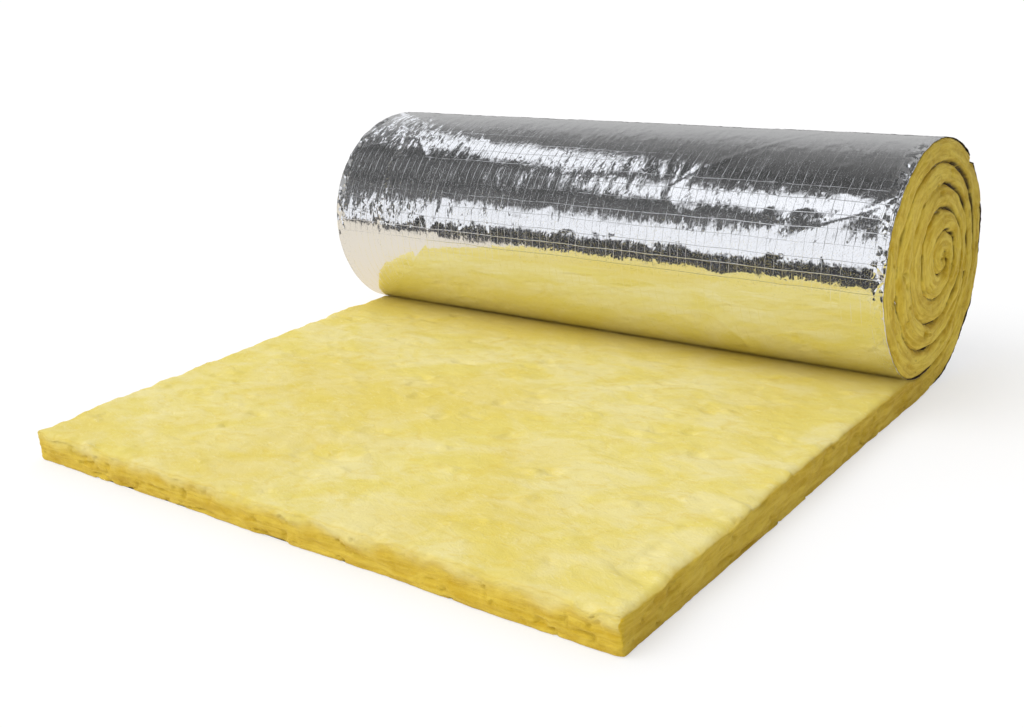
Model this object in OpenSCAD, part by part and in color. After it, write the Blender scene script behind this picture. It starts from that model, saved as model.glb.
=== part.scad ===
// Partly unrolled insulation blanket: glass wool with a foil facing on one side.
// The free end lies flat, wool up. At the back it turns up and over and is
// wound tightly on top of itself, so the foil is on the outside of the roll.
// X runs along the roll, Y runs from the free edge to the roll, and Z is up.
// The origin is on the floor, in the middle of the whole object.

/* [Blanket] */
// Width of the blanket, which is the length of the roll
blanket_w = 1200; // [600:10:1500]
// Thickness of the blanket where it lies loose, facing included
blanket_t = 56; // [48:1:75]
// Thickness of the foil facing
facing_t = 0.5; // [0.4:0.1:1.0]
// Length lying flat, from the free edge to the line under the roll's centre
flat_len = 980; // [700:10:1500]

/* [Roll] */
// Distance between one turn of foil and the next, with the wool pressed by winding
turn_pitch = 42; // [34:1:46]
// Distance from the roll's centre to the floor, before the roll sags
roll_r = 238; // [210:1:300]
// How far the roll sags: its height shrinks by this share and its depth grows by it
sag = 0.03; // [0:0.005:0.06]
// How far back the inner turns have shifted at the roll's eye, which leaves the
// turns thicker in front and tighter behind
eye_back = 45; // [0:5:60]
// Radius at which the foil's inner end stops, in the wool at the roll's centre
inner_end_r = 16; // [12:1:24]

/* [Detail] */
// How far in from each end of the roll the turns are cut apart
turn_cut = 6; // [3:1:20]
// Flats that one turn of the winding is made of
turn_steps = 48; // [32:4:64]

/* [Hidden] */

wool_colour = [0.92, 0.87, 0.56];
foil_colour = [0.80, 0.81, 0.83];

// The winding starts at the floor (step 0) and goes inwards, up the back first.
step_angle = 360 / turn_steps;
pitch_per_step = turn_pitch / turn_steps;
last_step = floor((roll_r - inner_end_r) / pitch_per_step);

// The outermost turn stays put, and each turn inside it has shifted further back
function shift_back(step) =
    eye_back * max(0, step - turn_steps) / (last_step - turn_steps);

// A point on the sagging spiral: step 0 points straight down, a quarter turn points back
function spiral_point(step, radius) = [
    flat_len + radius * sin(step * step_angle) * (1 + sag) + shift_back(step),
    (roll_r - radius * cos(step * step_angle)) * (1 - sag)
];

// The facing's two surfaces: its outside, and the side that is bonded to the wool
function outer_point(step) = spiral_point(step, roll_r - pitch_per_step * step);
function bond_point(step) =
    spiral_point(step, roll_r - facing_t - pitch_per_step * step);

// The roll's front presses into the flat wool from the first step below the wool's top
nip_step = min([
    for (step = [round(turn_steps * 3 / 4):turn_steps])
        if (outer_point(step)[1] < blanket_t) step
]);
above = outer_point(nip_step - 1);
below = outer_point(nip_step);
nip_share = (above[1] - blanket_t) / (above[1] - below[1]);
nip_outer = above + nip_share * (below - above);
nip_bond = bond_point(nip_step - 1)
    + nip_share * (bond_point(nip_step) - bond_point(nip_step - 1));

// Depth of the whole object, which centres it on the origin
back_y = max([for (step = [0:turn_steps]) outer_point(step)[0]]);

// A section in Y and Z carried along X, from one distance along the roll to another
module along_roll(section, from, to) {
    translate([from - blanket_w / 2, -back_y / 2, 0])
        rotate([90, 0, 90])
            linear_extrude(height = to - from)
                polygon(section);
}

// One section between the roll's ends, and another in which the turns are cut apart
module with_cut_ends(section, cut_section) {
    along_roll(cut_section, 0, turn_cut);
    along_roll(section, turn_cut, blanket_w - turn_cut);
    along_roll(cut_section, blanket_w - turn_cut, blanket_w);
}

// Glass wool: flat in front, turned up at the back and wound round to the centre
module wool_blanket() {
    free_edge = [[0, blanket_t], [0, facing_t]];
    first_turn = [for (step = [0:nip_step - 1]) bond_point(step)];
    winding = [for (step = [0:last_step]) bond_point(step)];
    // Inside surface of each turn, which the outside of the next turn lies on
    lining = [for (step = [last_step:-1:nip_step]) outer_point(step)];
    color(wool_colour)
        with_cut_ends(
            concat(free_edge, first_turn, [nip_bond, nip_outer]),
            concat(free_edge, winding, lining, [nip_outer])
        );
}

// Foil facing: bonded to the wool's underside, so it is outside on the roll
module foil_facing() {
    free_edge = [[0, facing_t], [0, 0]];
    outside = [for (step = [0:nip_step - 1]) outer_point(step)];
    bonded = [for (step = [nip_step - 1:-1:0]) bond_point(step)];
    wound_outside = [for (step = [0:last_step]) outer_point(step)];
    wound_bonded = [for (step = [last_step:-1:0]) bond_point(step)];
    color(foil_colour)
        with_cut_ends(
            concat(free_edge, outside, [nip_outer, nip_bond], bonded),
            concat(free_edge, wound_outside, wound_bonded)
        );
}

wool_blanket();
foil_facing();
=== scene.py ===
"""A partly unrolled blanket of foil-faced glass wool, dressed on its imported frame.

The blanket is one long strip. Its free end lies flat, wool up, and the rest turns up
at the back and is wound round itself, foil outwards. Every surface is worked out as
whole arrays from a run along the strip, a place across its width and a depth through
it, so the wool and the facing share the same winding.
"""

from __future__ import annotations

import logging
import math
from dataclasses import dataclass, field
from enum import Enum

import bpy
import numpy as np
from mathutils import Matrix, Vector


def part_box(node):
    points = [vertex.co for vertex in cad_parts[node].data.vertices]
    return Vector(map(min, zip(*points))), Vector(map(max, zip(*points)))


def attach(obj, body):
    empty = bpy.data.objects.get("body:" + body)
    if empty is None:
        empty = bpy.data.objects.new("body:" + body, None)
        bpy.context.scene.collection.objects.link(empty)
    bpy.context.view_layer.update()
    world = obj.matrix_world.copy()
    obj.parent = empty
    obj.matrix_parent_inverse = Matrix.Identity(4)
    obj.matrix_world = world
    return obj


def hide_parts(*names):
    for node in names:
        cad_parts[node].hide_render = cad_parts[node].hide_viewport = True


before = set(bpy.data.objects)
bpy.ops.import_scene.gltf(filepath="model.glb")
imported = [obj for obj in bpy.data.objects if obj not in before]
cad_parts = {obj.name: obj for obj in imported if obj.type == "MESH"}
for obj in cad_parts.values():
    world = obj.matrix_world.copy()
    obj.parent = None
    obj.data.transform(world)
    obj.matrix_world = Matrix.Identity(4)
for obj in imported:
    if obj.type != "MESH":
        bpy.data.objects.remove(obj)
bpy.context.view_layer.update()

Array = np.ndarray
Node = bpy.types.Node
Socket = bpy.types.NodeSocket
Piece = bpy.types.Object
TAU = 2 * math.pi
MM = 0.001

log = logging.getLogger("insulation_roll")


class End(Enum):
    """The two ends of the roll, as the sign of X on which each one lies."""

    LEFT = -1
    RIGHT = 1


# ---------------------------------------------------------------- numbers and noise


def smooth(low: float, high: float, value: Array) -> Array:
    """Return 0 below low, 1 above high and an eased step between them."""
    t = np.clip((value - low) / (high - low), 0.0, 1.0)
    return t * t * (3 - 2 * t)


def soft_min(a: Array, b: Array, blend: float) -> Array:
    """Return the lower of two heights, with the corner where they cross rounded off.

    Args:
        a: First height.
        b: Second height.
        blend: Difference in height over which one gives way to the other.

    Returns:
        b + (a - b) h - blend h (1 - h), where h goes from 0 to 1 as b rises past a.
    """
    h = np.clip(0.5 + 0.5 * (b - a) / blend, 0.0, 1.0)
    return b + (a - b) * h - blend * h * (1 - h)


@dataclass(frozen=True)
class Grain:
    """Repeatable noise over a plane, from hashed corner values joined by eased steps."""

    seed: int

    def _corner(self, i: Array, j: Array) -> Array:
        """Return a fixed random value from -1 to 1 for each whole-numbered corner."""
        mask = np.uint64(0xFFFFFFFF)
        h = (i.astype(np.int64) * 374761393 + j.astype(np.int64) * 668265263).astype(np.uint64)
        h = (h + np.uint64(self.seed * 2654435761 % 2**32)) & mask
        h = ((h ^ (h >> np.uint64(15))) * np.uint64(2246822519)) & mask
        h = ((h ^ (h >> np.uint64(13))) * np.uint64(3266489917)) & mask
        h = h ^ (h >> np.uint64(16))
        return h.astype(np.float64) / 2147483647.5 - 1.0

    def value(self, u: Array, v: Array) -> Array:
        """Return one layer of noise, from -1 to 1, with features about one unit across.

        Args:
            u: First coordinate, in features.
            v: Second coordinate, in features.

        Returns:
            The four corner values round each point, blended with a quintic ease.
        """
        u, v = np.broadcast_arrays(np.asarray(u, float), np.asarray(v, float))
        i, j = np.floor(u), np.floor(v)
        fu, fv = u - i, v - j
        wu = fu**3 * (fu * (fu * 6 - 15) + 10)
        wv = fv**3 * (fv * (fv * 6 - 15) + 10)
        low = self._corner(i, j) * (1 - wu) + self._corner(i + 1, j) * wu
        high = self._corner(i, j + 1) * (1 - wu) + self._corner(i + 1, j + 1) * wu
        return low * (1 - wv) + high * wv

    def layered(self, u: Array, v: Array, layers: int = 3) -> Array:
        """Return layers of noise, each half as high and twice as fine as the last."""
        total = np.zeros(np.broadcast(u, v).shape)
        for k in range(layers):
            total = total + Grain(self.seed + 17 * k).value(u * 2**k, v * 2**k) / 2**k
        return total / (2 - 2.0 ** (1 - layers))


# ---------------------------------------------------------------- meshes


@dataclass
class Skin:
    """Gathers blocks of points and faces into one mesh, and puts it into the scene."""

    name: str
    points: list[Array] = field(default_factory=list)
    flows: list[Array] = field(default_factory=list)
    cuts: list[Array] = field(default_factory=list)
    faces: list[Array] = field(default_factory=list)
    count: int = 0

    def add(self, points: Array, flow: Array, cut: Array) -> Array:
        """Add a block of points and return their numbers in the block's own shape.

        Args:
            points: Places, of shape (..., 3).
            flow: Run, place across and depth of each point, of shape (..., 3).
            cut: How far each point belongs to a cut edge, of shape (...); on the wool, painted shade is
                added above 1.

        Returns:
            Whole numbers of shape (...).
        """
        shape = points.shape[:-1]
        self.points.append(points.reshape(-1, 3))
        self.flows.append(np.broadcast_to(flow, points.shape).reshape(-1, 3))
        self.cuts.append(np.broadcast_to(cut, shape).reshape(-1))
        size = int(np.prod(shape))
        numbers = np.arange(self.count, self.count + size).reshape(shape)
        self.count += size
        return numbers

    def cover(self, grid: Array, flip: bool = False) -> None:
        """Cover a grid of point numbers with four-sided faces.

        Args:
            grid: Point numbers by row and column.
            flip: Whether the faces look the other way.
        """
        a, b, c, d = grid[:-1, :-1], grid[1:, :-1], grid[1:, 1:], grid[:-1, 1:]
        quads = np.stack([a, d, c, b] if flip else [a, b, c, d], axis=-1).reshape(-1, 4)
        self.faces.append(quads)

    def patch(self, loop: Array, flip: bool = False) -> None:
        """Close a ring of point numbers with one many-sided face."""
        self.faces.append((loop[::-1] if flip else loop).reshape(1, -1))

    def build(self) -> Piece:
        """Make the mesh object, shaded smooth, with its flow and cut attributes.

        Returns:
            The new object, linked to the scene and with its points in the frame's place.
        """
        points = np.concatenate(self.points)
        mesh = bpy.data.meshes.new(self.name)
        totals = np.concatenate([np.full(len(f), f.shape[1]) for f in self.faces])
        corners = np.concatenate([f.reshape(-1) for f in self.faces])
        mesh.vertices.add(len(points))
        mesh.vertices.foreach_set("co", points.astype(np.float32).ravel())
        mesh.loops.add(len(corners))
        mesh.loops.foreach_set("vertex_index", corners.astype(np.int32))
        mesh.polygons.add(len(totals))
        starts = np.concatenate([[0], np.cumsum(totals)[:-1]])
        mesh.polygons.foreach_set("loop_start", starts.astype(np.int32))
        mesh.polygons.foreach_set("loop_total", totals.astype(np.int32))
        mesh.polygons.foreach_set("use_smooth", np.ones(len(totals), bool))
        flow = mesh.attributes.new("flow", "FLOAT_VECTOR", "POINT")
        flow.data.foreach_set("vector", np.concatenate(self.flows).astype(np.float32).ravel())
        cut = mesh.attributes.new("cut", "FLOAT", "POINT")
        cut.data.foreach_set("value", np.concatenate(self.cuts).astype(np.float32))
        mesh.update(calc_edges=True)
        mesh.validate()
        piece = bpy.data.objects.new(self.name, mesh)
        bpy.context.scene.collection.objects.link(piece)
        return piece


# ---------------------------------------------------------------- shader nodes


class Value:
    """A number socket on which Python's arithmetic adds Math nodes."""

    def __init__(self, wires: "Wires", socket: Socket) -> None:
        """Hold a socket and the node tree it belongs to."""
        self.wires = wires
        self.socket = socket

    def _math(self, operation: str, *terms: "Value | float", clamp: bool = False) -> "Value":
        """Add one Math node and return its result."""
        settings = {"operation": operation, "use_clamp": clamp}
        node = self.wires.node("ShaderNodeMath", settings, dict(enumerate(terms)))
        return Value(self.wires, node.outputs[0])

    def __add__(self, other: "Value | float") -> "Value":
        """Return the sum."""
        return self._math("ADD", self, other)

    __radd__ = __add__

    def __sub__(self, other: "Value | float") -> "Value":
        """Return the difference."""
        return self._math("SUBTRACT", self, other)

    def __rsub__(self, other: float) -> "Value":
        """Return the difference from a plain number."""
        return self._math("SUBTRACT", other, self)

    def __mul__(self, other: "Value | float") -> "Value":
        """Return the product."""
        return self._math("MULTIPLY", self, other)

    __rmul__ = __mul__

    def __abs__(self) -> "Value":
        """Return the size without its sign."""
        return self._math("ABSOLUTE", self)

    def at_most(self, other: "Value | float") -> "Value":
        """Return the lower of the two."""
        return self._math("MINIMUM", self, other)

    def at_least(self, other: "Value | float") -> "Value":
        """Return the higher of the two."""
        return self._math("MAXIMUM", self, other)

    def clamped(self) -> "Value":
        """Return the value held between 0 and 1."""
        return self._math("ADD", self, 0.0, clamp=True)

    def turned(self, other: "Value") -> "Value":
        """Return the angle whose rise is this value and whose run is the other."""
        return self._math("ARCTAN2", self, other)

    def ping_pong(self, span: float) -> "Value":
        """Return the value folded back and forth between 0 and span."""
        return self._math("PINGPONG", self, span)

    def step(self, low: float, high: float) -> "Value":
        """Return an eased step from 0 at low to 1 at high."""
        settings = {"interpolation_type": "SMOOTHSTEP"}
        sockets = {"Value": self, "From Min": low, "From Max": high}
        node = self.wires.node("ShaderNodeMapRange", settings, sockets)
        return Value(self.wires, node.outputs[0])


class Wires:
    """Adds nodes to one material's or world's tree."""

    def __init__(self, tree: bpy.types.NodeTree) -> None:
        """Hold an emptied node tree."""
        self.tree = tree
        tree.nodes.clear()

    def node(self, kind: str, settings: dict | None = None, sockets: dict | None = None) -> Node:
        """Add any node: its settings are set first, and then its sockets.

        Args:
            kind: Node type.
            settings: Properties by name; "stops" holds a colour ramp's places and colours.
            sockets: Inputs by name or number, each a number, a tuple, a socket or a Value.

        Returns:
            The new node.
        """
        node = self.tree.nodes.new(kind)
        for name, value in (settings or {}).items():
            if name == "stops":
                self._set_stops(node.color_ramp, value)
            else:
                setattr(node, name, value)
        for name, value in (sockets or {}).items():
            if isinstance(value, Value):
                value = value.socket
            if isinstance(value, Socket):
                self.tree.links.new(value, node.inputs[name])
            else:
                node.inputs[name].default_value = value
        return node

    @staticmethod
    def _set_stops(ramp: bpy.types.ColorRamp, stops: list[tuple[float, tuple]]) -> None:
        """Give a colour ramp its stops, in order of place."""
        while len(ramp.elements) < len(stops):
            ramp.elements.new(1.0)
        for element, (place, tone) in zip(ramp.elements, stops):
            element.position = place
            element.color = (*tone, 1.0)

    def value(self, node: Node, output: str | int = 0) -> Value:
        """Wrap one of a node's outputs as a number."""
        return Value(self, node.outputs[output])

    def parts(self, vector: Socket) -> tuple[Value, ...]:
        """Split a vector into its X, Y and Z."""
        split = self.node("ShaderNodeSeparateXYZ", None, {0: vector})
        return tuple(self.value(split, axis) for axis in "XYZ")

    def place(self) -> tuple[Value, ...]:
        """Return the object's own X, Y and Z."""
        return self.parts(self.node("ShaderNodeTexCoord").outputs["Object"])

    def vector(self, operation: str, *terms: tuple | Socket) -> Node:
        """Add one Vector Math node."""
        return self.node("ShaderNodeVectorMath", {"operation": operation}, dict(enumerate(terms)))

    def surface(self, kind: str, sockets: dict, output: str = "ShaderNodeOutputMaterial") -> None:
        """Add a shader and make it the surface of the material, or of the world."""
        shader = self.node(kind, None, sockets)
        self.node(output, None, {"Surface": shader.outputs[0]})

    def attribute(self, name: str) -> Node:
        """Read one of the mesh's own attributes."""
        return self.node("ShaderNodeAttribute", {"attribute_name": name})

    def stretched(self, vector: Socket, scale: tuple, turn: float = 0.0) -> Socket:
        """Return a pattern's coordinates, stretched by a scale on each axis and turned in its plane."""
        sockets = {"Vector": vector, "Scale": scale, "Rotation": (0.0, 0.0, turn)}
        return self.node("ShaderNodeMapping", {"vector_type": "TEXTURE"}, sockets).outputs[0]

    def noise(self, vector: Socket, size: float, detail: float = 2.0,
              rough: float = 0.5, warp: float = 0.0) -> Value:
        """Return noise from about 0 to 1 with features of a size in the coordinates' own units.

        Args:
            vector: Coordinates.
            size: Size of the largest features.
            detail: Layers of finer noise.
            rough: How strong each finer layer is beside the last.
            warp: How far the pattern is pulled about.

        Returns:
            The noise as a number.
        """
        sockets = {"Vector": vector, "Scale": 1 / size, "Detail": detail,
                   "Roughness": rough, "Distortion": warp}
        return self.value(self.node("ShaderNodeTexNoise", {"noise_dimensions": "3D"}, sockets))

    def mix(self, share: Value | float, first: tuple | Socket, second: tuple | Socket) -> Socket:
        """Return two colours mixed by a share of the second."""
        node = self.node("ShaderNodeMix", {"data_type": "RGBA"})
        entries = ((node.inputs[0], share), (node.inputs[6], first), (node.inputs[7], second))
        for socket, entry in entries:
            if isinstance(entry, Value):
                entry = entry.socket
            if isinstance(entry, Socket):
                self.tree.links.new(entry, socket)
            else:
                socket.default_value = (*entry, 1.0) if isinstance(entry, tuple) else entry
        return node.outputs[2]

    def bump(self, height: Value, distance: float, strength: float = 1.0) -> Socket:
        """Return a normal raised by a height."""
        sockets = {"Height": height, "Distance": distance, "Strength": strength}
        return self.node("ShaderNodeBump", None, sockets).outputs[0]


def new_material(name: str) -> tuple[bpy.types.Material, Wires]:
    """Make a material and return it with its emptied node tree."""
    material = bpy.data.materials.new(name)
    material.use_nodes = True
    return material, Wires(material.node_tree)


def colour(red: int, green: int, blue: int) -> tuple[float, float, float]:
    """Return a screen colour as linear light."""
    screen = np.array([red, green, blue]) / 255
    linear = np.where(screen <= 0.04045, screen / 12.92, ((screen + 0.055) / 1.055) ** 2.4)
    return tuple(float(c) for c in linear)


# ---------------------------------------------------------------- finishes


@dataclass(frozen=True)
class GlassWoolFinish:
    """Pale yellow glass wool: soft clouds of fibre on top, ochre layers on the cut edges."""

    pale: tuple = colour(230, 217, 148)
    straw: tuple = colour(225, 208, 108)
    deep: tuple = colour(216, 188, 54)
    tuft: tuple = colour(236, 224, 168)
    gold: tuple = colour(196, 158, 16)
    cut_light: tuple = colour(238, 212, 86)
    cut_dark: tuple = colour(196, 160, 26)
    speck: tuple = colour(132, 100, 22)
    shade: tuple = colour(58, 44, 14)

    def material(self) -> bpy.types.Material:
        """Build the material.

        Returns:
            A material that reads the mesh's flow and cut attributes.
        """
        material, w = new_material("glass_wool")
        flow = w.attribute("flow").outputs["Vector"]
        run = w.parts(flow)[0]
        cut = w.value(w.attribute("cut"), "Fac")

        drawn = w.stretched(flow, (1.0, 1.6, 1.0), math.radians(-14))
        patches = w.noise(drawn, 0.075, 4, 0.60, 0.6)
        cloud = w.noise(drawn, 0.030, 4, 0.65, 1.2)
        hairs = w.noise(w.stretched(flow, (1.0, 3.6, 1.0), math.radians(16)), 0.0060, 5, 0.72, 1.6)
        strands = w.noise(w.stretched(flow, (3.0, 1.0, 1.0), math.radians(25)), 0.0060, 4, 0.7, 1.4)
        broad = w.noise(flow, 0.30, 2, 0.5)
        top = w.mix(patches.step(0.34, 0.66), self.straw, self.pale)
        top = w.mix(broad.step(0.45, 0.70) * 0.30, top, self.deep)
        top = w.mix((1 - cloud).step(0.48, 0.76) * 0.45, top, self.deep)
        top = w.mix(hairs.step(0.52, 0.72) * 0.50, top, self.tuft)
        top = w.mix((1 - strands).step(0.54, 0.80) * 0.14, top, self.deep)

        strata = w.noise(w.stretched(flow, (8.0, 8.0, 1.0)), 0.0080, 4, 0.62, 0.6)
        mottle = w.noise(flow, 0.026, 4, 0.62, 1.2)
        edge = w.mix(strata.step(0.30, 0.70), self.cut_dark, self.cut_light)
        edge = w.mix(mottle.step(0.40, 0.72) * 0.5, edge, self.cut_light)
        stained = w.noise(flow, 0.055, 3, 0.6, 0.8)
        edge = w.mix(stained.step(0.50, 0.72) * 0.45, edge, self.gold)
        fleck = w.noise(w.stretched(flow, (2.4, 2.4, 1.0)), 0.0060, 2, 0.6, 0.8)
        edge = w.mix(fleck.step(0.64, 0.78) * 0.55, edge, self.speck)
        # Painted shade: the flat part's cut edges, its free edge and sides, are darker than the roll's end.
        flat = 1 - run.step(0.90, 1.05)
        edge = w.mix(flat * 0.40, edge, self.cut_dark)
        # Painted shade: above 1 the cut attribute holds shade beside the grooves between turns and over the
        # back and top of the roll's end.
        groove = (cut - 1).clamped()
        edge = w.mix(groove * (0.75 + fleck * 0.4), edge, self.shade)
        top = w.mix(run.step(0.70, 0.92) * (0.45 + cloud * 0.6), top, self.deep)
        body = w.mix(cut.step(0.10, 0.85), top, edge)

        fine = w.noise(flow, 0.0030, 3, 0.7, 0.8)
        relief = patches * 0.4 + cloud * 0.5 + hairs * 0.4 + strands * 0.2 + fine * 0.3
        relief = relief + strata * cut.at_most(1.0) * 0.8
        normal = w.bump(relief, 3.2 * MM, 0.9)
        sockets = {"Base Color": body, "Roughness": 0.95, "Specular IOR Level": 0.12,
                   "Sheen Weight": 0.10, "Sheen Roughness": 0.6, "Normal": normal}
        w.surface("ShaderNodeBsdfPrincipled", sockets)
        return material


@dataclass(frozen=True)
class Facets:
    """A surface broken into flat facets, each tilted its own way."""

    drawn: float
    turn: float
    size: float
    slope: float

    def height(self, w: Wires, place: Socket) -> Value:
        """Return the facets' heights: the way from a facet's middle times its own slope.

        Args:
            w: The material's nodes.
            place: Coordinates, before the facets are drawn out and turned.

        Returns:
            Heights in metres, zero at each facet's middle.
        """
        spread = w.stretched(place, (self.drawn, 1.0, 1.0), self.turn)
        settings = {"voronoi_dimensions": "2D", "feature": "F1"}
        cell = w.node("ShaderNodeTexVoronoi", settings, {"Vector": spread, "Scale": 1 / self.size})
        offset = w.vector("SUBTRACT", spread, cell.outputs["Position"])
        tilt = w.vector("SUBTRACT", cell.outputs["Color"], (0.5, 0.5, 0.5))
        dot = w.vector("DOT_PRODUCT", offset.outputs[0], tilt.outputs[0])
        return w.value(dot, "Value") * (2 * self.slope)


@dataclass(frozen=True)
class FoilFinish:
    """Bright aluminium facing, crinkled, with its scrim of threads showing as fine ridges.

    Its bonded side is kraft, in a dark brown that is partly its own colour and partly painted shade for the
    grooves between turns; it shows only where the facing's edge stands out.
    """

    metal: tuple = (0.90, 0.905, 0.915)
    paper_and_groove_shade: tuple = colour(78, 58, 34)
    along_gap: float = 0.025
    around_gap: float = 0.0165
    thread: float = 0.0006
    thread_rise: float = 0.12 * MM
    billow_rise: float = 0.8 * MM
    smooth_from: float = 1.985
    crushed_at: float = -0.475
    large: Facets = Facets(4.6, math.radians(6), 0.0048, 0.040)
    small: Facets = Facets(1.8, math.radians(-12), 0.0032, 0.040)
    torn: Facets = Facets(1.4, 0.3, 0.0070, 0.50)

    def _thread(self, place: Value, wander: Value, gap: float) -> Value:
        """Return ridges a gap apart: 1 on each thread, falling to 0 at its sides."""
        folded = (place + (wander - 0.5) * 0.006).ping_pong(gap / 2)
        return 1 - folded.step(0.0, self.thread)

    def material(self) -> bpy.types.Material:
        """Build the material.

        Returns:
            A metal that reads the mesh's flow attribute.
        """
        material, w = new_material("foil_facing")
        flow = w.attribute("flow").outputs["Vector"]
        run, across, side = w.parts(flow)
        wander = w.noise(flow, 0.09, 1, 0.5)
        worn = w.noise(flow, 0.035, 2, 0.6).step(0.38, 0.60)
        along = self._thread(run, wander, self.along_gap)
        around = self._thread(across, w.noise(flow, 0.05, 2, 0.5), self.around_gap)
        threads = along * 0.55 + around * (0.6 + worn * 1.3)

        # Crinkles, which are weak where the roll is pressed smooth, on slow billows.
        pulled = w.node("ShaderNodeTexNoise", {"noise_dimensions": "2D"},
                        {"Vector": flow, "Scale": 30.0, "Detail": 2.0})
        shift = w.vector("MULTIPLY_ADD", pulled.outputs["Color"], (0.010, 0.010, 0.0), flow).outputs[0]
        calm = w.noise(flow, 0.10, 2, 0.5).step(0.30, 0.70)
        billow = w.noise(w.stretched(flow, (1.0, 1.6, 1.0)), 0.05, 3, 0.55, 0.3)
        pressed = 1 - run.step(self.smooth_from, self.smooth_from + 0.07) * 0.85
        large, small = self.large.height(w, shift), self.small.height(w, shift)
        crinkled = large * (0.6 + calm * 0.6) + small * (0.5 + calm * 0.8)
        height = crinkled * pressed + billow * self.billow_rise

        # Both side edges are crumpled, and so is one narrow band round the roll.
        frayed = w.value(w.attribute("cut"), "Fac")
        crushed = 1 - abs(across - self.crushed_at + (wander - 0.5) * 0.05).step(0.003, 0.018)
        frayed = frayed * (0.3 + pressed * 0.7) + crushed * pressed * 0.30
        height = height + threads * self.thread_rise + self.torn.height(w, shift) * frayed

        # The bonded side's dark brown is partly kraft's own colour and partly painted shade in the grooves
        # between turns.
        backing = side.step(0.3, 0.6)
        sockets = {"Base Color": w.mix(backing, self.metal, self.paper_and_groove_shade), "Metallic": 1 - backing,
                   "Roughness": 0.045 + wander * 0.04 + backing * 0.6, "Normal": w.bump(height, 1.0)}
        w.surface("ShaderNodeBsdfPrincipled", sockets)
        return material


# ---------------------------------------------------------------- the blanket's path


@dataclass(frozen=True)
class Winding:
    """Where the strip goes: flat on the floor, then a sagging spiral. All in metres."""

    width: float = 1.2
    loose: float = 0.056
    flat: float = 0.98
    pitch: float = 0.042
    radius: float = 0.238
    sag: float = 0.036
    inner: float = 0.010
    eye: float = 0.0025
    eye_back: float = 0.045
    paunch: float = 0.006
    pressed: float = 0.002
    tear: float = 0.011
    tear_angle: float = 0.37 * TAU
    front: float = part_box("foil_facing")[0][1]

    @property
    def last_angle(self) -> float:
        """Angle at which the strip's inner end lies, from straight down and up the back."""
        return (self.radius - self.inner) / self.pitch * TAU

    @property
    def nip_angle(self) -> float:
        """Angle at which the roll's front meets the top of the flat wool."""
        angle = np.linspace(0.8 * TAU, TAU, 400)
        return float(angle[np.argmax(self.turn(angle)[:, 1] < self.loose)])

    def wander(self, angle: Array, end: End) -> Array:
        """Return how far a turn strays from the true spiral at one end of the roll.

        The outermost turn stays true, and the turns inside it wave by a few millimetres.
        """
        grain = Grain(31 + end.value)
        slow = 2.4 * MM * grain.value(angle * 1.1, np.zeros_like(angle))
        quick = 1.0 * MM * grain.value(angle * 7.0, np.full_like(angle, 5.5))
        return (slow + quick) * smooth(TAU, TAU * 1.12, angle)

    def gape(self, angle: Array) -> Array:
        """Return how far the groove between two turns is open, from nearly shut to 1."""
        return 0.22 + 0.78 * smooth(-0.45, 0.60, np.sin(angle + 0.30))

    def nick(self, angle: Array, end: End) -> Array:
        """Return the depth of the small tear in the outer turn's edge at the right end."""
        if end is End.LEFT:
            return np.zeros_like(angle)
        return self.tear * smooth(0.055, 0.025, np.abs(angle - self.tear_angle))

    def turn(self, angle: Array, inset: Array | float = 0.0, end: End | None = None) -> Array:
        """Return points on the facing's outside, or a depth inside it.

        The radius shrinks by one pitch a turn, and the sag widens and flattens the circle.
        The first turn fills out a little low down at the front, where it lies on the wool,
        and the turns inside it lie further and further back.

        Args:
            angle: Angle from straight down, up the back first.
            inset: Depth towards the roll's centre.
            end: End of the roll whose wandering turns are followed, or None for true ones.

        Returns:
            Y and Z of each point, of shape (..., 2).
        """
        stray = 0.0 if end is None else self.wander(angle, end)
        belly = self.paunch * np.exp(-(((angle - 0.915 * TAU) / 0.42) ** 2))
        radius = self.radius - self.pitch * angle / TAU + stray + belly - inset
        radius = np.maximum(radius, self.eye)
        back = self.eye_back * np.clip((angle - TAU) / (self.last_angle - TAU), 0, 1)
        y = self.front + self.flat + radius * np.sin(angle) * (1 + self.sag) + back
        z = (self.radius - radius * np.cos(angle)) * (1 - self.sag)
        return np.stack([y, z], axis=-1)

    def run_at(self, angle: Array) -> Array:
        """Return the length of strip from the free edge to an angle of the winding."""
        return self.flat + self.radius * angle - self.pitch * angle**2 / (2 * TAU)

    def flat_top(self, run: Array) -> Array:
        """Return the height of the flat wool's top, pressed down where the roll lies on it."""
        angle = np.linspace(0.75 * TAU, TAU, 200)
        under = self.turn(angle)
        roll = np.interp(run + self.front, under[:, 0], under[:, 1], left=1.0)
        loose = self.loose - self.pressed * smooth(0.74, 0.88, run)
        return soft_min(loose, roll, 0.003)


@dataclass
class Stations:
    """Places along the strip: the facing's outside and the wool's free side at each one."""

    winding: Winding
    flat_runs: Array
    angles: Array

    @property
    def runs(self) -> Array:
        """Length of strip from the free edge to each station."""
        return np.concatenate([self.flat_runs, self.winding.run_at(self.angles)])

    @property
    def turned(self) -> Array:
        """Angle of the winding at each station, and 0 where it's flat."""
        return np.concatenate([np.zeros_like(self.flat_runs), self.angles])

    def outside(self, end: End) -> Array:
        """Return the facing's outside at each station, as Y and Z."""
        w = self.winding
        flat = np.stack([self.flat_runs + w.front, np.zeros_like(self.flat_runs)], axis=-1)
        return np.concatenate([flat, w.turn(self.angles, 0.0, end)])

    def lining(self, end: End) -> Array:
        """Return the wool's free side at each station, as Y and Z."""
        w = self.winding
        flat = np.stack([self.flat_runs + w.front, w.flat_top(self.flat_runs)], axis=-1)
        return np.concatenate([flat, w.turn(self.angles + TAU, 0.0, end)])


# ---------------------------------------------------------------- the wool


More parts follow.
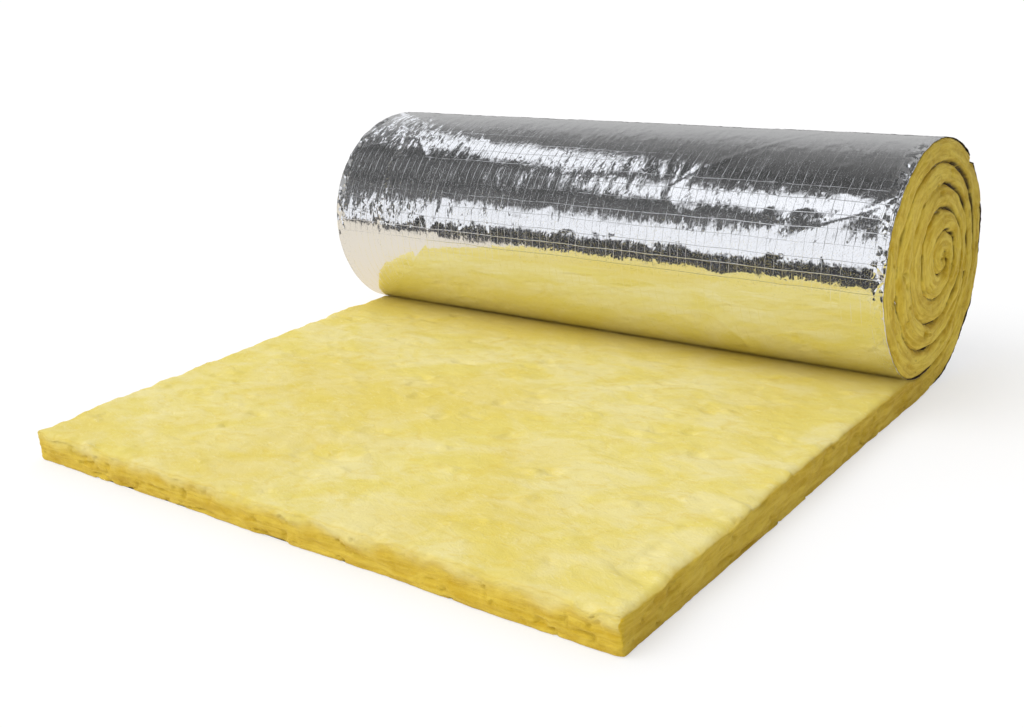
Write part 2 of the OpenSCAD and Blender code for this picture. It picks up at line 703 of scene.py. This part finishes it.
@dataclass
class WoolBlanket:
    """The glass wool as one closed strip, fine where it shows and plain where it's hidden."""

    winding: Winding
    cell: float = 4.7 * MM
    wound_cell: float = 6.0 * MM
    layers: int = 18
    shown: float = 0.93
    bond: float = 0.7 * MM
    corner: float = 7.0 * MM
    rim: float = 9.0 * MM
    border: tuple = (0.0, 1.2 * MM, 3.0 * MM, 6.0 * MM)

    def spaced(self, length: float) -> Array:
        """Return places from 0 to a length, closer together at the start."""
        first = self.border[-1] + self.cell
        count = round((length - first) / self.cell) + 1
        return np.concatenate([self.border, np.linspace(first, length, count)])

    def stations(self) -> Stations:
        """Return stations a cell apart where the top shows, then one by one round the roll."""
        w = self.winding
        hidden = np.linspace(self.shown, w.flat, 6)[1:-1]
        length = w.run_at(w.last_angle) - w.flat
        runs = np.linspace(0.0, length, round(length / self.wound_cell))
        fine = np.linspace(0.0, w.last_angle, 4000)
        angles = np.interp(runs + w.flat, w.run_at(fine), fine)
        return Stations(w, np.concatenate([self.spaced(self.shown), hidden]), angles)

    def columns(self) -> Array:
        """Return places across the width, closer together at both borders."""
        half = self.winding.width / 2
        side = self.spaced(half)
        return np.concatenate([side - half, (half - side)[-2::-1]])

    def depths(self) -> Array:
        """Return shares of the thickness, closer together near both faces."""
        even = np.linspace(0.0, 1.0, self.layers + 1)
        return even - np.sin(even * TAU) / TAU * 0.45

    def softening(self, run: Array, across: Array, depth: Array) -> tuple[Array, Array, Array]:
        """Return how far the borders are rounded: inwards across, back along, and down.

        Where two faces meet, both lean away from their shared edge by the square of their
        nearness to it, which leaves a quarter circle between them.

        Args:
            run: Length from the free edge.
            across: Place across the width.
            depth: Share of the thickness, from the facing up.

        Returns:
            The three distances in metres.
        """
        side = self.winding.width / 2 - np.abs(across)
        below = (1 - depth) * self.winding.loose

        def eased(first: Array, second: Array, reach: float) -> Array:
            """Return the lean where two faces meet, from the distances to both."""
            near = np.clip(1 - first / reach, 0, 1) * np.clip(1 - second / reach, 0, 1)
            return 0.29 * reach * near**2

        upright = eased(side, run, self.corner)
        flank = eased(side, below, self.rim)
        brow = eased(run, below, self.rim)
        return upright + flank, upright + brow, flank + brow

    def top_relief(self, run: Array, across: Array) -> Array:
        """Return how far the flat wool's top stands above its even height.

        Slow swells, clumps drawn out across the width, fine fibre, tufts and a few pits,
        fading where the roll lies on it.

        Args:
            run: Length from the free edge.
            across: Place across the width.

        Returns:
            Heights in metres.
        """
        swell = 2.0 * MM * Grain(1).value(run / 0.24, across / 0.31)
        clump = 2.2 * MM * Grain(2).layered(run / 0.050 + across * 2, across / 0.080, 4)
        fibre = 0.8 * MM * Grain(3).layered(run / 0.012, across / 0.022, 2)
        pit = -4.5 * MM * smooth(0.50, 0.90, Grain(4).layered(run / 0.034, across / 0.05, 2))
        tuft = 3.0 * MM * smooth(0.45, 0.90, Grain(5).layered(run / 0.028, across / 0.045, 2))
        side = self.winding.width / 2 - np.abs(across)
        nearest = np.minimum(run, side)
        ragged = 2.6 * MM * Grain(6).layered(run / 0.024, across / 0.024, 3)
        ragged = ragged * np.clip(1 - nearest / 0.03, 0, 1)
        crown = -0.6 * MM * np.clip(1 - nearest / 0.040, 0, 1) ** 2
        fade = 1 - 0.80 * smooth(0.76, 0.88, run)
        return (swell + clump + fibre + pit + tuft + ragged + crown) * fade

    def edge_relief(self, along: Array, depth: Array, seed: int, corner: Array) -> Array:
        """Return how far a cut edge of the flat part stands out from its true plane.

        Lumps, torn scallops, thin drawn-out layers, cracks between them and fine fibre.

        Args:
            along: Length along the edge.
            depth: Share of the thickness, from the facing up.
            seed: Number that makes one edge differ from another.
            corner: Distance to the nearest corner, near which there are no cracks.

        Returns:
            Distances outwards in metres.
        """
        deep = depth * self.winding.loose
        wave = 2.2 * MM * Grain(seed).value(along / 0.21, depth * 0.6)
        scallop = 3.6 * MM * Grain(seed + 1).layered(along / 0.042, deep / 0.028, 3)
        layer = 2.6 * MM * Grain(seed + 2).layered(along / 0.060 + deep * 9, deep / 0.0085, 3)
        fibre = 0.7 * MM * Grain(seed + 3).layered(along / 0.012, deep / 0.008, 2)
        crease = 1 - np.abs(Grain(seed + 4).layered(along / 0.060, deep / 0.013, 2))
        crack = -4.5 * MM * smooth(0.90, 1.0, crease) * (Grain(seed + 5).value(along / 0.05, depth) > -0.1)
        crack = crack * smooth(0.94, 0.80, depth) * smooth(0.010, 0.040, corner)
        hem = -1.0 * MM * np.clip(1 - depth / 0.10, 0, 1) ** 2
        held = 0.30 + 0.70 * smooth(0.0, 0.30, depth)
        return wave * 0.6 + (scallop + layer) * held + fibre + crack + hem

    def end_relief(self, stations: Stations, depth: Array, end: End) -> Array:
        """Return how far the wool stands out at one end, for stations by depths.

        The flat part is a cut edge. On the roll each turn stands out a little more or less
        than the next, bulges between its two neighbours, and falls into the groove where
        the facing's edge lies, which gapes at the back and is nearly shut at the front.

        Args:
            stations: Stations along the strip.
            depth: Shares of the thickness, as a row.
            end: Which end of the roll.

        Returns:
            Distances outwards in metres, by station and depth.
        """
        run = stations.runs[:, None]
        angle = stations.turned[:, None]
        deep = depth * self.winding.pitch
        seed = 40 + 20 * end.value
        flat = self.edge_relief(run, depth, seed, run)
        gape = self.winding.gape(angle) * (1 + 0.5 * Grain(seed + 6).layered(angle * 2.3, 0 * angle, 2))
        outer = np.clip(1 - depth / 0.19, 0, 1) ** 1.4 * np.where(angle < 0.93 * TAU, 0.30, 1.0)
        lip = -3.5 * MM * np.clip(1 - depth / 0.09, 0, 1) * (angle < 0.93 * TAU)
        inner = np.clip(1 - (1 - depth) / 0.19, 0, 1) ** 1.3
        slip = 3.4 * MM * Grain(seed + 7).value(angle * 0.45, 0 * angle + 3.3)
        bulge = 3.0 * MM * np.sin(np.pi * depth)
        lump = 3.4 * MM * Grain(seed + 8).layered(run / 0.055, deep / 0.026, 3)
        layer = 2.8 * MM * Grain(seed + 9).layered(run / 0.090 + deep * 14, deep / 0.0105, 3)
        fibre = 0.7 * MM * Grain(seed + 10).layered(run / 0.014, deep / 0.007, 2)
        pit = -7.0 * MM * smooth(0.52, 0.85, Grain(seed + 11).layered(run / 0.026, deep / 0.013, 2))
        centre = -5.0 * MM * smooth(0.80, 1.0, angle / self.winding.last_angle)
        wound = slip + bulge + lump + layer + fibre + pit + centre + lip - 11.0 * MM * gape * (outer + inner)
        wound = wound - self.winding.nick(angle, end) * (1 - smooth(0.12, 0.40, depth))
        share = smooth(-0.06, 0.10, run - self.winding.flat)
        return flat * (1 - share) + wound * share

    def groove(self, stations: Stations, depth: Array, end: End) -> Array:
        """Return how dark the wool is beside the groove between two turns, from 0 to 1.

        Stretches of painted shade come and go along the strip, and are longest where the groove gapes.
        Painted shade also darkens the back and top of the roll's end, less towards its middle, and the
        groove's shade is weaker low down.

        Args:
            stations: Stations along the strip.
            depth: Shares of the thickness, as a row.
            end: Which end of the roll.

        Returns:
            Painted shade by station and depth.
        """
        angle = stations.turned[:, None]
        run = stations.runs[:, None]
        wound = smooth(-0.06, 0.10, run - self.winding.flat)
        broken = Grain(24 + end.value).layered(run / 0.016, 0 * run + 2.5, 2)
        gape = self.winding.gape(angle)
        # Painted shade beside the groove comes in broken stretches, next to the facing on either side.
        share = smooth(0.35 - 0.65 * gape, 0.75 - 0.65 * gape, broken + 0.25)
        reach = 0.10 + 0.08 * smooth(0.1, 0.9, np.sin(angle))
        inner = smooth(1.0, 0.3, (1 - depth) / reach)
        outer = smooth(0.07, 0.0, depth) * (angle > 0.93 * TAU)
        # Painted shade over the back and top of the roll's end, fading towards its middle.
        painted_back_shade = smooth(-0.3, 1.0, np.cos(angle - 0.37 * TAU)) * (1 - 0.8 * angle / self.winding.last_angle)
        # Less painted shade in the grooves low down on the roll's end.
        below = 1 - 0.45 * smooth(0.2, 1.0, np.cos(angle))
        return wound * (share * np.maximum(inner, outer) * (0.35 + 0.65 * gape) * below + 0.24 * painted_back_shade)

    def front_relief(self, run: Array, across: Array, depth: Array) -> Array:
        """Return how far the free edge's relief moves a point back, fading away from the edge."""
        near = np.clip(1 - run / 0.016, 0, 1) ** 2
        corner = self.winding.width / 2 - np.abs(across)
        return -near * self.edge_relief(across, depth, 70, corner)

    def free_part(self, run: Array, across: Array, depth: Array, x: Array) -> Array:
        """Return points of the flat part between its two ends.

        Args:
            run: Length from the free edge.
            across: Even place across the width.
            depth: Share of the thickness, from the facing up.
            x: Place across the width after the ends' own relief.

        Returns:
            Points of shape (..., 3).
        """
        w = self.winding
        run, across, depth, x = np.broadcast_arrays(run, across, depth, x)
        _, back, down = self.softening(run, across, depth)
        share = self.bond / w.loose + (1 - self.bond / w.loose) * depth
        z = share * w.flat_top(run) + self.top_relief(run, across) * depth**2 - down
        y = w.front + run + back + self.front_relief(run, across, depth)
        return np.stack([x, y, z], axis=-1)

    def ends(self, skin: Skin, stations: Stations) -> dict[End, tuple[Array, Array]]:
        """Add the points of both ends of the roll and both sides of the flat part.

        Args:
            skin: The mesh that the points are added to.
            stations: Stations along the strip.

        Returns:
            For each end, its points' numbers and places, by station and depth.
        """
        w = self.winding
        depth = self.depths()[None, :]
        run = np.broadcast_to(stations.runs[:, None], (len(stations.runs), depth.shape[1]))
        flat = len(stations.flat_runs)
        result = {}
        for end in End:
            outside = stations.outside(end)[:, None, :]
            lining = stations.lining(end)[:, None, :]
            thick = np.linalg.norm(lining - outside, axis=-1)
            bond = np.minimum(self.bond / np.maximum(thick, 1e-6), 0.4)
            share = bond + (1 - bond) * depth
            place = outside + (lining - outside) * share[..., None]
            across = np.full_like(run, end.value * w.width / 2)
            inward = self.softening(run, across, depth)[0]
            inward[flat:] = 0.0
            relief = self.end_relief(stations, depth, end)
            x = end.value * (w.width / 2 + relief - inward)
            points = np.concatenate([x[..., None], place], axis=-1)
            points[:flat] = self.free_part(run[:flat], across[:flat], depth, x[:flat])
            flow = np.stack([run, x, share * thick], axis=-1)
            cut = np.where((np.arange(len(run)) < flat)[:, None], 1 - 0.6 * smooth(0.86, 1.0, depth), 1.0)
            # Painted shade beside the grooves and over the back and top of the roll's end is added above the
            # cut share.
            cut = cut + self.groove(stations, depth, end)
            result[end] = (skin.add(points, flow, cut), points)
        return result

    def build(self) -> Piece:
        """Make the wool.

        Returns:
            The closed mesh, dressed and placed in the frame.
        """
        w = self.winding
        skin = Skin("wool_blanket_soft")
        stations = self.stations()
        ends = self.ends(skin, stations)
        (left, left_points), (right, right_points) = ends[End.LEFT], ends[End.RIGHT]
        across = self.columns()[None, 1:-1]
        share = across / w.width + 0.5
        rows = len(self.spaced(self.shown))

        # The top that shows, between the top rows of the two ends.
        run = stations.runs[:rows, None]
        x = left_points[:rows, -1:, 0] * (1 - share) + right_points[:rows, -1:, 0] * share
        points = self.free_part(run, across, np.array(1.0), x)
        nearest = np.minimum(run, w.width / 2 - np.abs(across))
        cut = 0.4 * np.clip(1 - nearest / (14 * MM), 0, 1) ** 1.5
        flow = np.stack(np.broadcast_arrays(run, x, w.loose), axis=-1)
        middle = skin.add(points, flow, cut)
        top = np.concatenate([left[:rows, -1:], middle, right[:rows, -1:]], axis=1)
        skin.cover(top, flip=True)

        # The free edge, between the first columns of the two ends.
        depth = self.depths()[:-1, None]
        x = left_points[0, :-1, :1] * (1 - share) + right_points[0, :-1, :1] * share
        points = self.free_part(np.array(0.0), across, depth, x)
        flow = np.stack(np.broadcast_arrays(0.0, x, depth * w.loose), axis=-1)
        cut = 0.80 - 0.50 * smooth(0.40, 1.0, depth + 0.22 * Grain(77).layered(across / 0.045, depth, 2))
        middle = skin.add(points, flow, np.broadcast_to(cut, x.shape))
        face = np.concatenate([left[:1, :-1].T, middle, right[:1, :-1].T], axis=1)
        face = np.concatenate([face, top[:1, :]], axis=0)
        skin.cover(face, flip=True)

        # Both ends, then the long hidden faces that join them.
        skin.cover(left, flip=True)
        skin.cover(right)
        skin.cover(np.stack([left[1:, 0], right[1:, 0]], axis=1))
        skin.cover(np.stack([left[rows:, -1], right[rows:, -1]], axis=1), flip=True)
        skin.cover(np.stack([left[-1, :], right[-1, :]], axis=1))
        skin.patch(np.concatenate([face[0], [right[1, 0], left[1, 0]]]), flip=True)
        skin.patch(np.concatenate([top[-1], [right[rows, -1], left[rows, -1]]]))

        piece = skin.build()
        piece.data.materials.append(GlassWoolFinish().material())
        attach(piece, "root")
        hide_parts("wool_blanket")
        return piece


# ---------------------------------------------------------------- the facing


@dataclass
class FoilFacing:
    """The foil as one closed thin sheet, crinkled where it's the outside of the roll."""

    winding: Winding
    cell: float = 5.0 * MM
    wound_cell: float = 4.0 * MM
    thick: float = 0.6 * MM
    hem: float = 4.0 * MM

    def stations(self) -> tuple[Stations, int, int]:
        """Return the stations, and the numbers of the first and last that show in full."""
        w = self.winding
        flat = np.linspace(self.hem, w.flat - 0.05, 90)
        lead = np.linspace(w.flat - 0.05, w.flat, 11)[1:-1]
        fine = np.linspace(0.0, w.last_angle, 6000)
        runs = w.run_at(fine) - w.flat
        shown = runs[np.searchsorted(fine, w.nip_angle + 0.12)]
        outer = np.linspace(0.0, shown, round(shown / self.cell))
        inner = np.linspace(shown, runs[-1], round((runs[-1] - shown) / self.wound_cell))[1:]
        angles = np.interp(np.concatenate([outer, inner]), runs, fine)
        flat_runs = np.concatenate([flat, lead])
        first = len(flat) + 1
        return Stations(w, flat_runs, angles), first, len(flat_runs) + len(outer) - 1

    def relief(self, run: Array, across: Array, angle: Array) -> Array:
        """Return how far the roll's outside stands proud of the true spiral.

        Slow hollows and swells along the roll, creases that run round and across it, and
        crumpling at both ends. It never falls below the wool that it's bonded to.

        Args:
            run: Length of strip from the free edge.
            across: Place across the width.
            angle: Angle of the winding.

        Returns:
            Distances outwards in metres.
        """
        side = self.winding.width / 2 - np.abs(across)
        swell = 1.5 * MM * Grain(101).value(run / 0.26, across / 0.34)
        dent = 0.8 * MM * Grain(102).layered(run / 0.09, across / 0.12, 2)
        ridged = 1 - np.abs(Grain(103).layered(run / 0.075 + across * 5, across / 0.03, 2))
        crease = 0.7 * MM * smooth(0.80, 1.0, ridged)
        slanted = 1 - np.abs(Grain(104).value((run + 0.7 * across) / 0.17, (across - 0.7 * run) / 0.5))
        long_crease = 1.0 * MM * smooth(0.94, 1.0, slanted)
        crumple = 2.2 * MM * Grain(105).layered(run / 0.022, across / 0.014, 3)
        near_end = np.clip(1 - side / 0.05, 0, 1)
        calm = 1 - 0.85 * smooth(0.70 * TAU, 0.76 * TAU, angle)
        body = 0.8 * MM + swell + dent * (0.4 + 0.6 * calm)
        body = body + (crease + crumple * near_end) * calm + long_crease
        body = body * (1 - 0.40 * np.clip(1 - side / 0.010, 0, 1))
        rises = smooth(0.10, 0.45, angle)
        pressed = 1 - smooth(self.winding.nip_angle - 0.30, self.winding.nip_angle + 0.02, angle)
        inner = smooth(self.winding.nip_angle, self.winding.nip_angle + 0.2, angle)
        frilled = 1.3 * MM * Grain(106).layered(run / 0.010, across / 0.012, 2)
        frilled = frilled * np.clip(1 - side / 0.022, 0, 1) * inner
        return np.maximum(body, -0.4 * MM) * rises * pressed + frilled

    def brink(self, run: Array, angle: Array, end: End) -> Array:
        """Return how far the sheet's side edge reaches past or short of the true width."""
        grain = Grain(110 + end.value)
        slow = 1.3 * MM * grain.value(run / 0.06, 0 * run)
        inner = smooth(TAU * 0.98, TAU * 1.05, angle)
        quick = (1.3 + 3.2 * inner) * MM * grain.layered(run / 0.010, 0 * run + 4.5, 2)
        hidden = 4.8 * MM * (1 - smooth(0.0, 0.3, angle))
        return slow + quick - 0.8 * MM - 5.0 * MM * inner - hidden - self.winding.nick(angle, end)

    def place(self, stations: Stations, across: Array, lift: Array) -> Array:
        """Return points on the sheet.

        Args:
            stations: Stations along the strip.
            across: Place across the width, by station and column.
            lift: Distance outwards from the true spiral, by station and column.

        Returns:
            Points of shape (stations, columns, 3). A point between the roll's ends lies
            between the two ends' own spirals, in the proportion of its place across.
        """
        w = self.winding
        sides = {}
        for end in End:
            inside = np.concatenate([
                stations.outside(end)[: len(stations.flat_runs)] + [0.0, 0.01],
                w.turn(stations.angles, 0.01, end),
            ])
            outside = stations.outside(end)
            sides[end] = (outside, (outside - inside) / 0.01)
        share = np.clip(across / w.width + 0.5, 0, 1)[..., None]
        origin = sides[End.LEFT][0][:, None] * (1 - share) + sides[End.RIGHT][0][:, None] * share
        outward = sides[End.LEFT][1][:, None] * (1 - share) + sides[End.RIGHT][1][:, None] * share
        spot = origin + outward * lift[..., None]
        return np.concatenate([across[..., None], spot], axis=-1)

    def build(self) -> Piece:
        """Make the facing.

        Returns:
            The closed mesh, dressed and placed in the frame.
        """
        w = self.winding
        skin = Skin("foil_facing_sheet")
        stations, first, last = self.stations()
        run = stations.runs[:, None]
        angle = stations.turned[:, None]
        half = w.width / 2
        left = -half - self.brink(run, angle, End.LEFT)
        right = half + self.brink(run, angle, End.RIGHT)

        # Columns near each side follow the crumpled edge, and plain ones span the middle.
        steps = np.array([0.0, 2.0, 6.0, 12.0, 20.0, 32.0]) * MM
        edge = len(steps)
        across = np.concatenate([left + steps, right - steps[::-1]], axis=1)
        lift = self.relief(run, across, angle)
        flow = np.stack(np.broadcast_arrays(run, across, 0.0), axis=-1)
        depth = np.concatenate([steps, steps[::-1]])[None, :]
        frayed = np.broadcast_to(1 - smooth(0.0, steps[-1], depth), across.shape)
        outer = skin.add(self.place(stations, across, lift), flow, frayed)
        seen = (angle > 0.05) & (angle < w.nip_angle)
        sunk = np.where(seen, 0.6 * MM * smooth(6 * MM, 24 * MM, depth), 0.0)
        under = np.minimum(lift, lift * (1 - smooth(6 * MM, 20 * MM, depth))) - self.thick - sunk
        inner = skin.add(self.place(stations, across, under), flow + [0.0, 0.0, 1.0], frayed)

        # The part of the roll that shows, from one side's last plain column to the other's.
        count = round((w.width - 2 * steps[-1]) / self.cell)
        share = np.linspace(0, 1, count + 1)[None, 1:-1]
        shown = slice(first, last + 1)
        x = across[shown, edge - 1:edge] * (1 - share) + across[shown, edge:edge + 1] * share
        wound = last + 1 - len(stations.flat_runs)
        part = Stations(w, stations.flat_runs[first:], stations.angles[:wound])
        z = self.relief(run[shown], x, angle[shown])
        flow = np.stack(np.broadcast_arrays(run[shown], x, 0.0), axis=-1)
        middle = skin.add(self.place(part, x, z), flow, np.zeros(x.shape))
        face = np.concatenate([outer[shown, :edge], middle, outer[shown, edge:]], axis=1)

        # The outside: the shown part, the plain rows before and after it, and two seams.
        skin.cover(face)
        skin.cover(outer[:first])
        skin.cover(outer[last + 1:])
        for row in (first - 1, last):
            skin.cover(outer[row:row + 2, :edge])
            skin.cover(outer[row:row + 2, edge:])
        for row, near in ((first - 1, 0), (last + 1, -1)):
            shared = face[near, edge - 1:1 - edge]
            seam = np.concatenate([[outer[row, edge - 1]], shared, [outer[row, edge]]])
            skin.patch(seam, flip=near == -1)

        # The bonded side and the four thin edges.
        skin.cover(inner, flip=True)
        skin.cover(np.stack([inner[:, 0], outer[:, 0]], axis=1))
        skin.cover(np.stack([outer[:, -1], inner[:, -1]], axis=1))
        skin.cover(np.stack([inner[0], outer[0]]))
        skin.cover(np.stack([outer[-1], inner[-1]]))

        piece = skin.build()
        piece.data.materials.append(FoilFinish().material())
        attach(piece, "root")
        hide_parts("foil_facing")
        w.run_at(w.last_angle)
        return piece


# ---------------------------------------------------------------- the stage


@dataclass(frozen=True)
class Studio:
    """A pale floor in soft light, with bright and dark tones that only mirrors see."""

    floor_reach: float = 60.0
    floor_drop: float = 0.6 * MM
    floor_tone: tuple = (0.92, 0.92, 0.925)
    floor_lift: float = 0.55
    mirrored_tone: tuple = (0.72, 0.665, 0.575)
    dark_tone: tuple = (0.05, 0.05, 0.055)
    behind_tone: tuple = (0.22, 0.22, 0.225)
    white: tuple = (1.0, 1.0, 1.0, 1.0)
    azimuth: float = 38.9
    elevation: float = 19.5
    tilt: float = -4.24
    lens: float = 44.3
    eye: tuple = (1.3188, -1.6647, 0.8283)
    lamp_energy: float = 1.25
    lamp_spread: float = 50.0
    lamp_toward: tuple = (0.42, 0.55, -1.0)
    tent_reach: float = 3.0
    tent_half: float = 7.0
    tent_axis: tuple = (-0.234, 0.24)
    tent_from: float = -12
    tent_to: float = 192
    tent_points: int = 52
    box_tone: tuple = (1.05, 1.07, 1.12)
    bands: tuple = ((-12, 0.035), (6, 0.05), (14, 0.10), (40, 0.12), (50, 0.08), (72, 0.11),
                    (88, 0.065), (104, 0.12), (124, 0.20), (134, 0.34), (150, 0.46), (180, 0.52))

    def stage_mesh(self, name: str, points: Array, faces: Array,
                   material: bpy.types.Material) -> Piece:
        """Make one piece of the stage from its points and faces."""
        mesh = bpy.data.meshes.new(name)
        mesh.from_pydata(points.tolist(), [], faces.tolist())
        mesh.materials.append(material)
        piece = bpy.data.objects.new(name, mesh)
        bpy.context.scene.collection.objects.link(piece)
        return piece

    def rays(self, w: Wires) -> tuple[Value, Value, Value]:
        """Return 1 for rays from the camera, for mirrored rays, and for rays off a dull surface."""
        path = w.node("ShaderNodeLightPath")
        bounced = w.value(path, "Diffuse Depth").at_most(1.0)
        return w.value(path, "Is Camera Ray"), w.value(path, "Is Glossy Ray") * (1 - bounced), bounced

    def floor(self) -> None:
        """Lay the floor, which is plain and pale to the camera.

        Mirrors see another floor: cream near the blanket, dark beyond a strip in front
        and grey behind.
        """
        material, w = new_material("floor")
        x, y, _ = w.place()
        seen, mirrored, _ = self.rays(w)
        beyond = 1 - (y - (x + 1.0).at_most(0.0) * 0.5).step(-0.85, -0.64)
        front = mirrored * beyond * x.step(-3.5, -3.1)
        far = (y.step(1.05, 1.35) + (1 - y.step(2.2, 2.6)) * 0.35).at_most(1.0)
        behind = mirrored * far * y.step(0.5, 0.8)
        tone = w.mix(mirrored, self.floor_tone, self.mirrored_tone)
        tone = w.mix(front, tone, self.dark_tone)
        tone = w.mix(behind, tone, self.behind_tone)
        lit = w.node("ShaderNodeBsdfDiffuse", None, {"Color": tone})
        plain = w.node("ShaderNodeEmission", None, {"Color": self.white, "Strength": 1.0})
        sockets = {0: seen * self.floor_lift, 1: lit.outputs[0], 2: plain.outputs[0]}
        w.surface("ShaderNodeMixShader", sockets)
        corners = np.array([[-1, -1], [1, -1], [1, 1], [-1, 1]]) * self.floor_reach
        points = np.column_stack([corners, np.full(4, -self.floor_drop)])
        self.stage_mesh("floor", points, np.array([[0, 1, 2, 3]]), material)

    def tent(self) -> None:
        """Hang a half-round tent over the roll that only mirrors see.

        Its tone depends on the angle round the roll, 0 in front and 180 behind, with three
        soft boxes: a wide one in front that dips at both sides, a long one above it, and
        one overhead at each side that climbs towards the back.
        """
        axis_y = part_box("foil_facing")[1][1] + self.tent_axis[0]
        axis_z = self.tent_axis[1]
        count = self.tent_points
        angle = np.radians(np.linspace(self.tent_from, self.tent_to, count))
        arc_y = axis_y - self.tent_reach * np.cos(angle)
        arc_z = axis_z + self.tent_reach * np.sin(angle)
        points = np.concatenate([np.column_stack([np.full(count, side), arc_y, arc_z])
                                 for side in (-self.tent_half, self.tent_half)])
        first = np.arange(count - 1)
        faces = np.column_stack([first, first + 1, first + count + 1, first + count])

        material, w = new_material("tent")
        x, y, z = w.place()
        rise = (z - axis_z).turned(axis_y - y) * (180 / math.pi)
        side = abs(x)
        start, end = self.bands[0][0], self.bands[-1][0]
        stops = [((angle - start) / (end - start), (tone, tone, tone)) for angle, tone in self.bands]
        place = (rise - start) * (1 / (end - start))
        ramp = w.node("ShaderNodeValToRGB", {"stops": stops}, {"Fac": place})
        dipped = rise + (side - 2.63).at_least(0.0) * 24
        top = (1.6 - side).at_least(0.0) * 10 + 30
        box = dipped.step(4, 8) * (1 - (dipped - top).step(-4, 4))
        centre = (side - 2.2).at_least(0.0) * 22 + (side - 3.0).at_least(0.0) * 110 + 92
        high = (1 - abs(rise - centre).step(7, 15)) * side.step(1.5, 1.9)
        low = (1 - abs(rise - 63).step(5, 12)) * (1 - side.step(1.5, 2.1))
        tone = w.mix((box * 0.9 + high + low).clamped(), ramp.outputs[0], self.box_tone)
        tone = w.mix(self.rays(w)[2], tone, (1.0, 1.0, 1.0))
        w.surface("ShaderNodeEmission", {"Color": tone, "Strength": 1.0})
        material.cycles.emission_sampling = "NONE"
        tent = self.stage_mesh("tent", points, faces, material)
        for ray in ("camera", "diffuse", "transmission", "shadow", "volume_scatter"):
            setattr(tent, f"visible_{ray}", False)

    def sky(self) -> None:
        """Light the scene evenly from all round, less from the right, on a plain backdrop."""
        world = bpy.data.worlds.new("studio")
        bpy.context.scene.world = world
        world.use_nodes = True
        w = Wires(world.node_tree)
        x = w.parts(w.node("ShaderNodeTexCoord").outputs["Generated"])[0]
        soft = 1.10 - x.step(-0.4, 0.9) * 0.76
        seen, mirrored, _ = self.rays(w)
        strength = seen + (1 - seen) * (mirrored * 0.45 + (1 - mirrored) * soft)
        w.surface("ShaderNodeBackground", {"Color": self.white, "Strength": strength},
                  "ShaderNodeOutputWorld")

    def lamp(self) -> None:
        """Shine a wide soft light from the front left, which mirrors don't see."""
        data = bpy.data.lights.new("key", "SUN")
        data.energy = self.lamp_energy
        data.angle = math.radians(self.lamp_spread)
        lamp = bpy.data.objects.new("key", data)
        lamp.rotation_euler = Vector(self.lamp_toward).to_track_quat("-Z", "Y").to_euler()
        lamp.visible_glossy = False
        bpy.context.scene.collection.objects.link(lamp)

    def camera(self) -> None:
        """Set up the camera."""
        data = bpy.data.cameras.new("camera")
        data.sensor_width = 36.0
        data.lens = self.lens
        data.clip_end = 200.0
        camera = bpy.data.objects.new("camera", data)
        camera.location = self.eye
        pitch = math.radians(90 - self.elevation)
        basis = Matrix.Rotation(math.radians(self.azimuth), 4, "Z")
        basis = basis @ Matrix.Rotation(pitch, 4, "X") @ Matrix.Rotation(math.radians(self.tilt), 4, "Z")
        camera.rotation_euler = basis.to_euler()
        bpy.context.scene.collection.objects.link(camera)
        bpy.context.scene.camera = camera

    def build(self) -> None:
        """Make the floor, the light and the camera."""
        self.floor()
        self.tent()
        self.sky()
        self.lamp()
        self.camera()
        scene = bpy.context.scene
        scene.view_settings.view_transform = "Standard"
        scene.view_settings.look = "None"


def main() -> None:
    logging.basicConfig(level=logging.INFO, format="%(name)s: %(message)s")
    winding = Winding()
    for sub_assembly in (WoolBlanket(winding), FoilFacing(winding)):
        piece = sub_assembly.build()
        log.info("%s: %d points, %d faces", piece.name, len(piece.data.vertices), len(piece.data.polygons))
    Studio().build()


if __name__ == "__main__":
    main()
